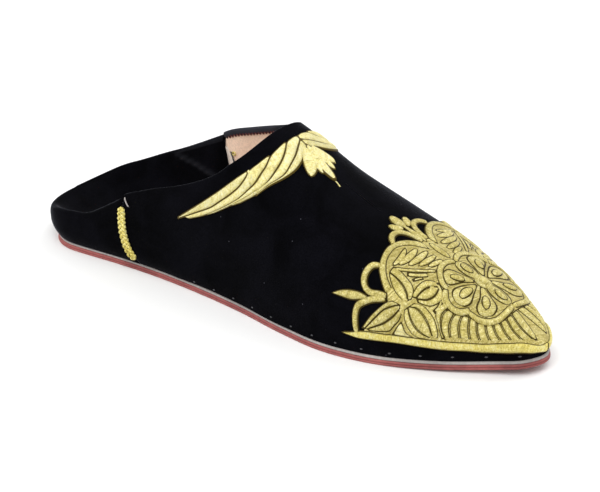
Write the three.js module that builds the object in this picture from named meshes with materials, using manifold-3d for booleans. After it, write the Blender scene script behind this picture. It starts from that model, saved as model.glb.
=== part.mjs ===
// Babouche slipper for the right foot: a flat leather sole, a pointed velvet upper with high side
// walls, and a separate heel quarter that is folded down inside the shoe.
// Millimetres, +X towards the toe, +Y towards the inner side of the foot, +Z up. The origin is under
// the middle of the shoe, on the plane that the sole stands on.
import * as THREE from 'three';
import { mergeVertices } from 'three/addons/utils/BufferGeometryUtils.js';
import Module from 'manifold-3d';

const wasm = await Module();
wasm.setup();

// Driving sizes.
const SOLE_LENGTH = 264.5;
const HEEL_ROUND = 24;          // length of the rounded back of the heel
const HEEL_SQUARENESS = 2.3;    // exponent of the heel's rounded outline
const TOE_ROUND = 8;            // length of the blunt nose at the point
const SPRING_START = 194;       // where the sole leaves the floor in front of the ball
const TOE_SPRING = 4;           // height of the sole's underside at the point
const OUTSOLE = 2.4;            // thickness of the red leather sole
const MIDSOLE = 1.1;            // thickness of the pale leather layer above it
const INSOLE = 1.4;             // thickness of the sock leather inside
const MIDSOLE_INSET = 0.4;      // how far the pale layer stands back from the sole's edge
const WALL = 2.2;               // velvet, interlining and lining together
const FOLDED_WALL = 1.9;        // the quarter has velvet and a thin backing only
const GAP = 0.3;                // clearance between neighbouring pieces
const BELLY_HEIGHT = 8.5;       // height at which a section is widest, above the upper's base
const ARCH = 2.25;              // exponent of a section's arched top
const WIDEST_SHARE = 0.35;      // a low section is widest at this share of its height
const TUCK = 1;                 // how far the wall's foot stands inside the belly
const TUCK_OF_BELLY = 0.85;     // and how much more for each millimetre of belly
const HEEL_BACK = 3.3;          // how far the upper overhangs the sole at the back

// Reach of the solids that cut the upper and the quarter, all clear of the last.
const ALL_ABOVE = 150;          // taller than any section
const ALL_ASIDE = 70;           // wider than any section
const ALL_BEHIND = -20;         // behind the heel
const CORE_DROP = 6;            // how far the hollow's core goes on below the base
const CUT_WALL = 32;            // the top line runs level outwards from here, and slopes between
const CUT_START = -12;          // first and last section of the top line's cutter, and their step
const CUT_END = 130;
const CUT_STEP = 2.84;
const SEAM_START = -6;          // lowest section of the seam's cutter, and their step
const SEAM_STEP = 4;
const SEAM_TOP = 58;            // above this height the seam's cutter goes straight up
const SEAM_OVERLAP = 10;        // how far each seam's cutter reaches past the centre line

const MIDSOLE_BASE = OUTSOLE + GAP;
const UPPER_BASE = MIDSOLE_BASE + MIDSOLE + GAP;
const INSOLE_TOP = UPPER_BASE + INSOLE;

// Sections of the last, by distance from the back of the sole. halfWidth is the sole's, crest is the
// height of the section's top, and belly is how far the upper stands out past the sole's edge.
const LAST = [
  { at: 0, halfWidth: 30.4, crest: 124, belly: 3.3 },
  { at: 24, halfWidth: 30.7, crest: 122, belly: 3.2 },
  { at: 52, halfWidth: 29.3, crest: 115, belly: 3.0 },
  { at: 77, halfWidth: 29.6, crest: 103, belly: 2.8 },
  { at: 102, halfWidth: 31.8, crest: 88.5, belly: 2.0 },
  { at: 127, halfWidth: 35.5, crest: 77.2, belly: 0.9 },
  { at: 152, halfWidth: 40.9, crest: 62.4, belly: 0.0 },
  { at: 177, halfWidth: 44.0, crest: 51.2, belly: -0.5 },
  { at: 202, halfWidth: 40.2, crest: 42.8, belly: -0.7 },
  { at: 227, halfWidth: 29.9, crest: 33.8, belly: -0.8 },
  { at: 247, halfWidth: 18.4, crest: 24.8, belly: -0.8 },
  { at: 258, halfWidth: 12.2, crest: 18.0, belly: -0.8 },
  { at: 264.5, halfWidth: 8.8, crest: 13.3, belly: -0.8 },
];

// Height of the top line on the outer (lateral) and inner (medial) side of the foot: the rim of the
// folded quarter, then the collar of the upper up to the throat.
const TOP_LINE = [
  { at: -4, lateral: 15.9, medial: 15.9 },
  { at: 5, lateral: 17.6, medial: 20.9 },
  { at: 14, lateral: 20.0, medial: 24.3 },
  { at: 23, lateral: 21.3, medial: 28.3 },
  { at: 32, lateral: 22.6, medial: 32.8 },
  { at: 40, lateral: 26.6, medial: 36.8 },
  { at: 50, lateral: 33.1, medial: 42.4 },
  { at: 57, lateral: 38.4, medial: 46.5 },
  { at: 64, lateral: 41.3, medial: 50.6 },
  { at: 72, lateral: 44.5, medial: 55.2 },
  { at: 85, lateral: 49.0, medial: 60.3 },
  { at: 96, lateral: 53.6, medial: 64.4 },
  { at: 106, lateral: 59.1, medial: 68.2 },
  { at: 113, lateral: 65.3, medial: 71.2 },
  { at: 119.5, lateral: 71.5, medial: 74.8 },
  { at: 124, lateral: 78.5, medial: 78.5 },
  { at: 130, lateral: 92.0, medial: 92.0 },
];

// The side seams between quarter and upper, by height above the floor.
const SEAM = [
  { height: -5, lateral: 64.0, medial: 71.0 },
  { height: 4, lateral: 62.5, medial: 69.5 },
  { height: 9, lateral: 59.6, medial: 67.2 },
  { height: 14, lateral: 57.0, medial: 65.6 },
  { height: 20, lateral: 55.2, medial: 64.8 },
  { height: 30, lateral: 54.6, medial: 65.0 },
  { height: 42, lateral: 56.8, medial: 66.3 },
  { height: 60, lateral: 59.5, medial: 68.2 },
];

// The quarter is turned down inside over a round fold, and its flap ends on a line across the insole.
const FOLD_RADIUS = FOLDED_WALL + 0.25;
const FOLD_TURN_MIDDLE = 115;   // degrees that the fold turns through at the back of the heel
const FOLD_TURN_SIDES = 180;    // and at the side seams, where the flap hangs against the wall
const FLAP_EDGE_MIDDLE = 44;    // distance from the heel on the centre line
const FLAP_EDGE_SIDES = 62;     // and at the walls
const FLAP_HALF_WIDTH = 24.5;   // from the centre line to the flap's face at the walls
const FLAP_SAG = 2.2;           // how quickly the flap drops from the rim
const FLAP_SPREAD = 2.5;        // how squarely the flap's edge turns forward along the walls
const QUARTER_REACH = { lateral: 57, medial: 65 };
const QUARTER_END = 86;         // the sheet is made to here, then cut along the seams
const FOLD_STEPS = 6;
const FLAP_STEPS = 8;
const RISE_PARTS = [0, 0.33, 0.66, 1];

// A table's column as a smooth curve through its rows.
function column(rows, by, name) {
  const slope = rows.map((row, i) => {
    const before = rows[Math.max(i - 1, 0)];
    const after = rows[Math.min(i + 1, rows.length - 1)];
    return (after[name] - before[name]) / (after[by] - before[by]);
  });
  return (value) => {
    const last = rows.length - 2;
    let i = rows.findIndex((row, k) => k === last || value < rows[k + 1][by]);
    i = Math.min(Math.max(i, 0), last);
    const span = rows[i + 1][by] - rows[i][by];
    const t = (value - rows[i][by]) / span;
    if (t < 0) return rows[i][name] + slope[i] * (value - rows[i][by]);
    if (t > 1) return rows[i + 1][name] + slope[i + 1] * (value - rows[i + 1][by]);
    const rise = t * t * (3 - 2 * t);
    const bend = t * (1 - t) * span;
    return rows[i][name] * (1 - rise) + rows[i + 1][name] * rise
      + bend * ((1 - t) * slope[i] - t * slope[i + 1]);
  };
}

const tableWidth = column(LAST, 'at', 'halfWidth');
const crestHeight = column(LAST, 'at', 'crest');
const belly = column(LAST, 'at', 'belly');
const topLine = { lateral: column(TOP_LINE, 'at', 'lateral'), medial: column(TOP_LINE, 'at', 'medial') };
const seamLine = { lateral: column(SEAM, 'height', 'lateral'), medial: column(SEAM, 'height', 'medial') };

// Height of the sole's underside above the floor.
function spring(at) {
  const t = Math.max(0, (at - SPRING_START) / (SOLE_LENGTH - SPRING_START));
  return TOE_SPRING * t * t;
}

// Half width of the sole, with the round heel and the blunt nose.
function soleWidth(at) {
  const back = Math.min(1, Math.max(0, (HEEL_ROUND - at) / HEEL_ROUND));
  const front = Math.min(1, Math.max(0, (at - SOLE_LENGTH + TOE_ROUND) / TOE_ROUND));
  const heel = Math.pow(1 - Math.pow(back, HEEL_SQUARENESS), 1 / HEEL_SQUARENESS);
  const nose = Math.sqrt(1 - front * front);
  return tableWidth(at) * heel * nose;
}

// Stations along the shoe, closer together where the ends round off.
function stations(heelSteps, middleSteps, toeSteps) {
  const list = [];
  for (let i = 0; i < heelSteps; i += 1) {
    list.push(HEEL_ROUND * (1 - Math.cos((i / heelSteps) * Math.PI / 2)));
  }
  const toeStart = SOLE_LENGTH - TOE_ROUND;
  for (let i = 0; i < middleSteps; i += 1) {
    list.push(HEEL_ROUND + (toeStart - HEEL_ROUND) * i / middleSteps);
  }
  for (let i = 0; i <= toeSteps; i += 1) {
    list.push(toeStart + TOE_ROUND * Math.sin((i / toeSteps) * Math.PI / 2));
  }
  return list;
}

// The sole's edge at each station, with the direction that points out of it.
function outline(list) {
  return list.map((at, i) => {
    const before = list[Math.max(i - 1, 0)];
    const after = list[Math.min(i + 1, list.length - 1)];
    const run = after - before;
    const rise = soleWidth(after) - soleWidth(before);
    const size = Math.hypot(run, rise);
    if (i === 0) return { at, width: 0, outX: -1, outY: 0 };
    if (i === list.length - 1) return { at, width: 0, outX: 1, outY: 0 };
    return { at, width: soleWidth(at), outX: -rise / size, outY: run / size };
  });
}

// The four-sided faces between neighbouring rings of a loft, as triangles.
function ringFaces(rings) {
  const count = rings[0].length;
  const faces = [];
  for (let i = 0; i + 1 < rings.length; i += 1) {
    for (let j = 0; j < count; j += 1) {
      const a = i * count + j;
      const b = i * count + ((j + 1) % count);
      faces.push([a, b, b + count], [a, b + count, a + count]);
    }
  }
  return faces;
}

// A closed solid through rings whose first and last fall together on a line.
function loft(rings) {
  return solid(rings.flat(), ringFaces(rings));
}

// A closed solid through rings with flat ends, each end a fan about its first corner.
function capped(rings) {
  const faces = ringFaces(rings);
  const count = rings[0].length;
  const end = (rings.length - 1) * count;
  for (let j = 1; j + 1 < count; j += 1) {
    faces.push([0, j + 1, j], [end, end + j, end + j + 1]);
  }
  return solid(rings.flat(), faces);
}

// A sheet of even thickness behind a grid of points, given as columns of equal length.
function thickSheet(columns, thickness) {
  const rows = columns[0].length;
  const at = (i, j) => new THREE.Vector3().fromArray(
    columns[Math.min(Math.max(i, 0), columns.length - 1)][Math.min(Math.max(j, 0), rows - 1)],
  );
  const behind = columns.map((points, i) => points.map((point, j) => {
    const along = at(i + 1, j).sub(at(i - 1, j));
    const up = at(i, j + 1).sub(at(i, j - 1));
    const back = along.cross(up).normalize().multiplyScalar(thickness);
    return at(i, j).add(back).toArray();
  }));
  const rings = columns.map((points, i) => [...points, ...behind[i].reverse()]);
  const faces = ringFaces(rings);
  const count = 2 * rows;
  const end = (rings.length - 1) * count;
  for (let j = 0; j + 1 < rows; j += 1) {
    const k = count - 1 - j;
    faces.push([j, k, k - 1], [j, k - 1, j + 1]);
    faces.push([end + j, end + k - 1, end + k], [end + j, end + j + 1, end + k - 1]);
  }
  return solid(rings.flat(), faces);
}

// Points and triangles as a manifold solid, facing out.
function solid(points, faces) {
  const geometry = new THREE.BufferGeometry();
  geometry.setAttribute('position', new THREE.Float32BufferAttribute(points.flat(), 3));
  geometry.setIndex(faces.flat());
  const merged = mergeVertices(geometry, 1e-4);
  const index = merged.getIndex().array;
  const kept = [];
  for (let i = 0; i < index.length; i += 3) {
    const [a, b, c] = [index[i], index[i + 1], index[i + 2]];
    if (a !== b && b !== c && c !== a) kept.push(a, b, c);
  }
  if (signedVolume(merged.getAttribute('position').array, kept) < 0) kept.reverse();
  return new wasm.Manifold(new wasm.Mesh({
    numProp: 3,
    vertProperties: new Float32Array(merged.getAttribute('position').array),
    triVerts: new Uint32Array(kept),
  }));
}

function signedVolume(position, index) {
  const corner = (k) => new THREE.Vector3().fromArray(position, 3 * index[k]);
  let sum = 0;
  for (let i = 0; i < index.length; i += 3) {
    sum += corner(i).dot(corner(i + 1).cross(corner(i + 2)));
  }
  return sum / 6;
}

// How far the upper's base stands inside the sole's edge, where the wall tucks in under the belly.
function tuck(at) {
  return TUCK + Math.max(0, belly(at)) * TUCK_OF_BELLY;
}

// Steps round the heel, along the middle and round the toe.
const SOLE_STATIONS = [9, 40, 7];
const UPPER_STATIONS = [9, 34, 6];

// A flat layer that follows the sole's outline and toe spring, inset from the sole's edge.
function layer(base, thickness, inset) {
  const rings = outline(stations(...SOLE_STATIONS)).map(({ at, width, outX, outY }) => {
    const x = at - outX * inset(at);
    const y = Math.max(0, width - outY * inset(at));
    const low = base + spring(at);
    const high = low + thickness;
    return [[x, -y, low], [x, y, low], [x, y, high], [x, -y, high]];
  });
  return loft(rings);
}

// The last's surface at one station: from the edge at the base (turn -1), out to the belly (turn 0),
// and over the arch to the crest (turn 1). side is -1 for the lateral half and 1 for the medial half.
function lastPoint({ at, width, outX, outY }, side, turn, inset) {
  const base = UPPER_BASE + spring(at);
  const slope = (crestHeight(at + 1) - crestHeight(at - 1)) / 2;
  const crest = crestHeight(at) - inset * Math.hypot(1, slope);
  const widest = Math.min(base + BELLY_HEIGHT, base + (crest - base) * WIDEST_SHARE);
  const out = belly(at) - inset;
  if (turn <= 0) {
    const reach = out - turn * turn * tuck(at);
    const y = side * Math.max(0, width + outY * reach);
    return [at + outX * reach, y, widest + (widest - base) * turn];
  }
  const across = Math.pow(Math.cos(turn * Math.PI / 2), 2 / ARCH);
  const up = Math.pow(Math.sin(turn * Math.PI / 2), 2 / ARCH);
  const y = turn >= 1 ? 0 : side * Math.max(0, width + outY * out) * across;
  return [at + outX * out, y, widest + (crest - widest) * up];
}

const TUCK_TURNS = [-1, -0.72, -0.45, -0.2];
const ARCH_TURNS = [0, 0.1, 0.2, 0.3, 0.4, 0.5, 0.6, 0.7, 0.8, 0.9, 1];

// The solid last, inset from the outer surface and carried on below the base by drop.
function lastSolid(inset, drop) {
  const turns = [...TUCK_TURNS, ...ARCH_TURNS];
  const rings = outline(stations(...UPPER_STATIONS)).map((edge) => {
    const half = (side) => turns.map((turn, i) => {
      const [x, y, z] = lastPoint(edge, side, turn, inset);
      return [x, y, i === 0 ? z - drop : z];
    });
    return [...half(-1), ...half(1).slice(0, -1).reverse()];
  });
  return loft(rings);
}

// What lies above the top line, which runs at one height over each wall and slopes between them.
function aboveTopLine() {
  const rings = [];
  for (let at = CUT_START; at <= CUT_END; at += CUT_STEP) {
    const lateral = topLine.lateral(at);
    const medial = topLine.medial(at);
    rings.push([
      [at, -ALL_ASIDE, ALL_ABOVE], [at, -ALL_ASIDE, lateral], [at, -CUT_WALL, lateral],
      [at, CUT_WALL, medial], [at, ALL_ASIDE, medial], [at, ALL_ASIDE, ALL_ABOVE],
    ]);
  }
  return capped(rings);
}

// What lies behind one side seam, from a little past the centre line outwards.
function behindSeam(side, shift) {
  const line = side < 0 ? seamLine.lateral : seamLine.medial;
  const near = -SEAM_OVERLAP * side;
  const far = ALL_ASIDE * side;
  const rings = [];
  for (let height = SEAM_START; height <= ALL_ABOVE; height += SEAM_STEP) {
    const x = line(Math.min(height, SEAM_TOP)) + shift;
    rings.push([[ALL_BEHIND, near, height], [x, near, height], [x, far, height], [ALL_BEHIND, far, height]]);
  }
  return capped(rings);
}

// The upper: one hollow wall from the side seams to the toe, open at the collar and underneath.
function upper() {
  return lastSolid(0, 0)
    .subtract(lastSolid(WALL, CORE_DROP))
    .subtract(aboveTopLine())
    .subtract(behindSeam(-1, GAP / 2))
    .subtract(behindSeam(1, GAP / 2));
}

// Where the flap ends on the insole. way runs from -1 at the lateral wall to 1 at the medial wall.
function flapEnd(way, past) {
  const spread = Math.pow(Math.abs(way), FLAP_SPREAD);
  const x = FLAP_EDGE_MIDDLE + (FLAP_EDGE_SIDES - FLAP_EDGE_MIDDLE) * spread + past;
  return [x, FLAP_HALF_WIDTH * way, INSOLE_TOP + GAP + FOLDED_WALL];
}

// One column of the quarter's sheet: up the wall, over the fold at the rim, and down the flap.
function quarterColumn(edge, side) {
  const name = side < 0 ? 'lateral' : 'medial';
  const rim = topLine[name](edge.at + edge.outX * HEEL_BACK);
  const shoulder = rim - FOLD_RADIUS;
  const share = edge.at / QUARTER_REACH[name];
  const way = side * Math.sqrt(Math.min(1, share));
  const points = TUCK_TURNS.map((turn) => lastPoint(edge, side, turn, 0));
  const [x, y, widest] = lastPoint(edge, side, 0, 0);
  for (const part of RISE_PARTS) {
    points.push([x, y, widest + (shoulder - widest) * part]);
  }
  const fullTurn = FOLD_TURN_MIDDLE + (FOLD_TURN_SIDES - FOLD_TURN_MIDDLE) * way * way;
  for (let i = 1; i <= FOLD_STEPS; i += 1) {
    const turn = (fullTurn * i / FOLD_STEPS) * Math.PI / 180;
    const run = FOLD_RADIUS * (1 - Math.cos(turn));
    const rise = FOLD_RADIUS * Math.sin(turn);
    points.push([x - edge.outX * run, y - side * edge.outY * run, shoulder + rise]);
  }
  const start = points[points.length - 1];
  const end = flapEnd(way, Math.max(0, edge.at - QUARTER_REACH[name]));
  for (let i = 1; i <= FLAP_STEPS; i += 1) {
    const t = i / FLAP_STEPS;
    const fall = Math.pow(1 - t, FLAP_SAG);
    points.push([
      start[0] + (end[0] - start[0]) * t,
      start[1] + (end[1] - start[1]) * t,
      end[2] + (start[2] - end[2]) * fall,
    ]);
  }
  return points;
}

// The quarter: one sheet around the heel from seam to seam, folded down inside along the rim.
function heelQuarter() {
  const edges = outline(stations(...UPPER_STATIONS)).filter((edge) => edge.at < QUARTER_END);
  const lateral = edges.map((edge) => quarterColumn(edge, -1)).reverse();
  const medial = edges.slice(1).map((edge) => quarterColumn(edge, 1));
  const sheet = thickSheet([...lateral, ...medial], FOLDED_WALL);
  const behind = behindSeam(-1, -GAP / 2).add(behindSeam(1, -GAP / 2));
  return sheet.intersect(behind);
}

const COLOURS = {
  velvet: { color: 0x0c0c10, roughness: 0.95, metalness: 0 },
  redLeather: { color: 0xb04a4c, roughness: 0.7, metalness: 0 },
  paleLeather: { color: 0xb9b4ad, roughness: 0.8, metalness: 0 },
  sockLeather: { color: 0xdfb9a6, roughness: 0.6, metalness: 0 },
};

function piece(name, shape, colour) {
  const mesh = shape.getMesh();
  const geometry = new THREE.BufferGeometry();
  geometry.setAttribute('position', new THREE.BufferAttribute(mesh.vertProperties, mesh.numProp));
  geometry.setIndex(new THREE.BufferAttribute(mesh.triVerts, 1));
  const part = new THREE.Mesh(geometry, new THREE.MeshStandardMaterial(COLOURS[colour]));
  part.name = name;
  return part;
}

const insoleInset = (at) => tuck(at) - belly(at) + WALL + GAP;

const group = new THREE.Group();
group.position.x = -(SOLE_LENGTH - HEEL_BACK) / 2;
group.add(
  piece('outsole', layer(0, OUTSOLE, () => 0), 'redLeather'),
  piece('midsole', layer(MIDSOLE_BASE, MIDSOLE, () => MIDSOLE_INSET), 'paleLeather'),
  piece('insole', layer(UPPER_BASE, INSOLE, insoleInset), 'sockLeather'),
  piece('upper', upper(), 'velvet'),
  piece('heel_quarter', heelQuarter(), 'velvet'),
);
export default group;
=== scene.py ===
"""Visual model of a babouche slipper for the right foot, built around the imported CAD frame.

Lengths in this script are millimetres measured from the back of the sole (s), towards the inner side
of the foot (y, or +1 for side) and up (z). place() turns them into the frame's metres. The embroidery
is drawn on a chart of the upper: s, and the arc length a from the crest line, positive on the outer side.
"""

import math

import bmesh
import bpy
import numpy as np
from mathutils import Matrix, Vector


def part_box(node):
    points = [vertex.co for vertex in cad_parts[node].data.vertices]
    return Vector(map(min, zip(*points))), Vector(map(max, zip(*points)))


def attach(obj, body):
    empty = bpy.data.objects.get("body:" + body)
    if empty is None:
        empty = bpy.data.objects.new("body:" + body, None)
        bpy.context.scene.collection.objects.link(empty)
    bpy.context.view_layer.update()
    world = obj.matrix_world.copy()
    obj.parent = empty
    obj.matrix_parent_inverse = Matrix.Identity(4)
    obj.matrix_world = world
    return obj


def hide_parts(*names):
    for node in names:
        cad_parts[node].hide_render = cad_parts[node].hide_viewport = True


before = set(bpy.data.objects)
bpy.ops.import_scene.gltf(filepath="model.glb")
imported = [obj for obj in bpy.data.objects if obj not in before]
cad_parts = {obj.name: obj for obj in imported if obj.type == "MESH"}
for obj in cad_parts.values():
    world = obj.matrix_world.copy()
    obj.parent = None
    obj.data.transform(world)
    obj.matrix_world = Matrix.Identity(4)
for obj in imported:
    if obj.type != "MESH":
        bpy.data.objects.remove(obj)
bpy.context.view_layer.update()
HEEL_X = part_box("outsole")[0][0]

# The last: the same driving sizes as the CAD part.
SOLE_LENGTH = 264.5
HEEL_ROUND = 24.0
HEEL_SQUARENESS = 2.3
TOE_ROUND = 8.0
TOE_START = SOLE_LENGTH - TOE_ROUND
SPRING_START = 194.0
TOE_SPRING = 4.0
OUTSOLE = 2.4
MIDSOLE_TOP = 3.95
UPPER_BASE = 4.1
INSOLE_TOP = 5.5
BELLY_HEIGHT = 8.5
WIDEST_SHARE = 0.35
ARCH = 2.25
WALL = 2.2
LINING_INSET = 1.8
FOLDED_WALL = 1.9
FOLD_RADIUS = 2.15
HEEL_BACK = 3.3
THROAT_HALF = 32.0

# Sections of the last: distance from the heel, sole's half width, height of the crest, belly.
LAST = np.array([
    [0, 30.4, 124, 3.3], [24, 30.7, 122, 3.2], [52, 29.3, 115, 3.0], [77, 29.6, 103, 2.8],
    [102, 31.8, 88.5, 2.0], [127, 35.5, 77.2, 0.9], [152, 40.9, 62.4, 0.0], [177, 44.0, 51.2, -0.5],
    [202, 40.2, 42.8, -0.7], [227, 29.9, 33.8, -0.8], [247, 18.4, 24.8, -0.8], [258, 12.2, 18.0, -0.8],
    [264.5, 8.8, 13.3, -0.8],
])

# Height of the top line: distance from the heel, outer side, inner side.
TOP_LINE = np.array([
    [-4, 15.9, 15.9], [5, 17.6, 20.9], [14, 20.0, 24.3], [23, 21.3, 28.3], [32, 22.6, 32.8],
    [40, 26.6, 36.8], [50, 33.1, 42.4], [57, 38.4, 46.5], [64, 41.3, 50.6], [72, 44.5, 55.2],
    [85, 49.0, 60.3], [96, 53.6, 64.4], [106, 59.1, 68.2], [113, 65.3, 71.2], [119.5, 71.5, 74.8],
    [124, 78.5, 78.5], [130, 92.0, 92.0],
])

# The side seams: height, distance from the heel on the outer side and on the inner side.
SEAM = np.array([
    [-5, 64.0, 71.0], [4, 62.5, 69.5], [9, 59.6, 67.2], [14, 57.0, 65.6], [20, 55.2, 64.8],
    [30, 54.6, 65.0], [42, 56.8, 66.3], [60, 59.5, 68.2],
])


def through(x, y):
    """A smooth curve through table rows, carried on straight past both ends."""
    x, y = np.asarray(x, float), np.asarray(y, float)
    last = len(x) - 1
    low = np.maximum(np.arange(last + 1) - 1, 0)
    high = np.minimum(np.arange(last + 1) + 1, last)
    slope = (y[high] - y[low]) / (x[high] - x[low])

    def value(v):
        v = np.asarray(v, float)
        i = np.clip(np.searchsorted(x, v, side="right") - 1, 0, last - 1)
        span = x[i + 1] - x[i]
        t = np.clip((v - x[i]) / span, 0, 1)
        rise = t * t * (3 - 2 * t)
        bend = t * (1 - t) * span
        inside = y[i] * (1 - rise) + y[i + 1] * rise + bend * ((1 - t) * slope[i] - t * slope[i + 1])
        return inside + slope[0] * np.minimum(v - x[0], 0) + slope[last] * np.maximum(v - x[last], 0)

    return value


def curves(table):
    """A smooth curve for each column of a table, against its first column."""
    return [through(table[:, 0], column) for column in table.T[1:]]


table_width, crest, belly = curves(LAST)
top_line = dict(zip((-1, 1), curves(TOP_LINE)))
seam_line = dict(zip((-1, 1), curves(SEAM)))


def spring(s):
    t = np.maximum(0, (s - SPRING_START) / (SOLE_LENGTH - SPRING_START))
    return TOE_SPRING * t * t


def sole_width(s):
    back = np.clip((HEEL_ROUND - s) / HEEL_ROUND, 0, 1)
    front = np.clip((s - TOE_START) / TOE_ROUND, 0, 1)
    heel = np.power(1 - np.power(back, HEEL_SQUARENESS), 1 / HEEL_SQUARENESS)
    return table_width(s) * heel * np.sqrt(1 - front * front)


def station(t):
    """Distance from the heel for t from 0 to 3: the heel's round, the middle and the toe's round."""
    heel = HEEL_ROUND * (1 - np.cos(np.clip(t, 0, 1) * np.pi / 2))
    middle = (TOE_START - HEEL_ROUND) * np.clip(t - 1, 0, 1)
    toe = TOE_ROUND * np.sin(np.clip(t - 2, 0, 1) * np.pi / 2)
    return heel + middle + toe


def station_of(s):
    s = np.asarray(s, float)
    heel = np.arccos(np.clip(1 - s / HEEL_ROUND, 0, 1)) / (np.pi / 2)
    middle = 1 + (s - HEEL_ROUND) / (TOE_START - HEEL_ROUND)
    toe = 2 + np.arcsin(np.clip((s - TOE_START) / TOE_ROUND, 0, 1)) / (np.pi / 2)
    return np.where(s < HEEL_ROUND, heel, np.where(s < TOE_START, middle, toe))


def plan(t):
    """The sole's edge at t: distance, half width, and the direction out of it."""
    t = np.asarray(t, float)
    step = 1e-3
    before, after = np.clip(t - step, 0, 3), np.clip(t + step, 0, 3)
    run = station(after) - station(before)
    rise = sole_width(station(after)) - sole_width(station(before))
    size = np.hypot(run, rise) + 1e-12
    out_x = np.where(t <= 0, -1, np.where(t >= 3, 1, -rise / size))
    out_y = np.where((t <= 0) | (t >= 3), 0, run / size)
    return station(t), sole_width(station(t)), out_x, out_y


def tuck(s):
    return 0.15 + np.maximum(0, belly(s)) * 0.95


def surface(t, side, turn, inset=0.0):
    """Points of the last: turn -1 at the base, 0 at the belly, 1 at the crest."""
    t, side, turn, inset = np.broadcast_arrays(np.asarray(t, float), side, np.asarray(turn, float), inset)
    s, width, out_x, out_y = plan(t)
    base = UPPER_BASE + spring(s)
    slope = (crest(s + 1) - crest(s - 1)) / 2
    top = crest(s) - inset * np.hypot(1, slope)
    widest = np.minimum(base + BELLY_HEIGHT, base + (top - base) * WIDEST_SHARE)
    out = belly(s) - inset
    low = np.clip(turn, -1, 0)
    reach = out - low * low * tuck(s)
    angle = np.clip(turn, 0, 1) * np.pi / 2
    across = np.power(np.cos(angle).clip(0), 2 / ARCH)
    up = np.power(np.sin(angle), 2 / ARCH)
    y_low = side * np.maximum(0, width + out_y * reach)
    y_high = side * np.maximum(0, width + out_y * out) * across
    x = np.where(turn <= 0, s + out_x * reach, s + out_x * out)
    y = np.where(turn <= 0, y_low, np.where(turn >= 1, 0, y_high))
    z = np.where(turn <= 0, widest + (widest - base) * turn, widest + (top - widest) * up)
    return np.stack([x, y, z], -1)


def unit(v):
    return v / (np.linalg.norm(v, axis=-1, keepdims=True) + 1e-12)


def lengths(path):
    """The length along a path up to each of its points."""
    return np.concatenate([[0], np.cumsum(np.linalg.norm(np.diff(path, axis=0), axis=1))])


class Chart:
    """Points of the upper by distance s and arc length a from the crest line."""

    def __init__(self, first=60.0, last=2.999, columns=500, steps=240):
        self.t = np.linspace(station_of(first), last, columns)
        turns = np.concatenate([1 - np.linspace(0, 1, 1601) ** 2, -np.linspace(0, 1, 161)[1:]])
        points = surface(self.t[:, None], -1, turns[None, :])
        gaps = np.linalg.norm(np.diff(points, axis=1), axis=2)
        run = np.concatenate([np.zeros((columns, 1)), np.cumsum(gaps, 1)], 1)
        self.girths = run[:, -1]
        share = np.linspace(0, 1, steps)
        self.table = np.array([np.interp(share * row[-1], row, turns) for row in run])

    def turn(self, t, a):
        share = np.clip(np.abs(a) / np.interp(t, self.t, self.girths), 0, 1)
        rows, columns = self.table.shape
        across = (t - self.t[0]) / (self.t[-1] - self.t[0]) * (rows - 1)
        across = np.clip(across, 0, rows - 1.001)
        down = np.clip(share * (columns - 1), 0, columns - 1.001)
        i, j = across.astype(int), down.astype(int)
        p, q = across - i, down - j
        upper = self.table[i, j] * (1 - p) + self.table[i + 1, j] * p
        lower = self.table[i, j + 1] * (1 - p) + self.table[i + 1, j + 1] * p
        return upper * (1 - q) + lower * q

    def point(self, s, a, lift=0.0):
        s, a, lift = np.broadcast_arrays(np.asarray(s, float), np.asarray(a, float), lift)
        t = np.minimum(station_of(s), self.t[-1])
        return surface(t, np.where(a >= 0, -1, 1), self.turn(t, a), -lift)


chart = Chart()


# Mesh helpers.
MM = 0.001
WELD = 0.004 * MM


def place(points):
    return np.asarray(points, float) * MM + np.array([HEEL_X, 0, 0])


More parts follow.
